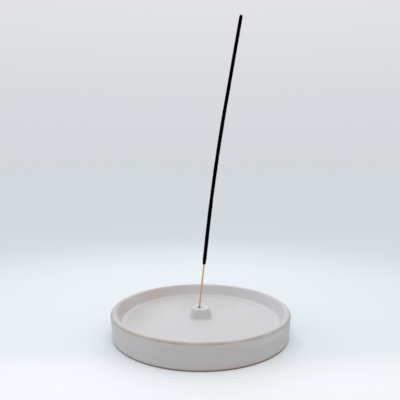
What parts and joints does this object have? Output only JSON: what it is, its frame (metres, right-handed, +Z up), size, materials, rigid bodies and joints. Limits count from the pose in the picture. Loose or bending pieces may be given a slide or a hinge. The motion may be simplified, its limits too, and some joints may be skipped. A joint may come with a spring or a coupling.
{
  "type": "incense stick holder",
  "caption": "Shallow round glazed stoneware dish with a small clay block on its floor that holds a leaning incense stick and catches the ash.",
  "frame": {"origin": "centre of the dish's foot, on the surface that it stands on", "axes": "+Z up, +X the way the stick leans, +Y away from the front, where the block stands a little behind the middle"},
  "size_m": [0.1348, 0.1348, 0.236],
  "materials": {
    "bare_clay": "bare fired stoneware, matte",
    "satin_glaze": "satin off-white glaze, breaking to tan at edges",
    "bamboo": "plain split bamboo",
    "incense_paste": "rolled black incense paste, rough and matte"
  },
  "bodies": {
    "dish": {"dish_body": "bare_clay", "stick_boss": "bare_clay", "slip_joint": "bare_clay", "outer_glaze": "satin_glaze", "inner_glaze": "satin_glaze", "boss_glaze": "satin_glaze"},
    "stick": {"bamboo_core": "bamboo", "incense_coat": "incense_paste"}
  },
  "joints": [
    {"name": "stick_lift", "type": "slide", "parent": "dish", "child": "stick", "axis": [0.1033, 0, 0.9946], "range_m": [0, 0.04]}
  ]
}
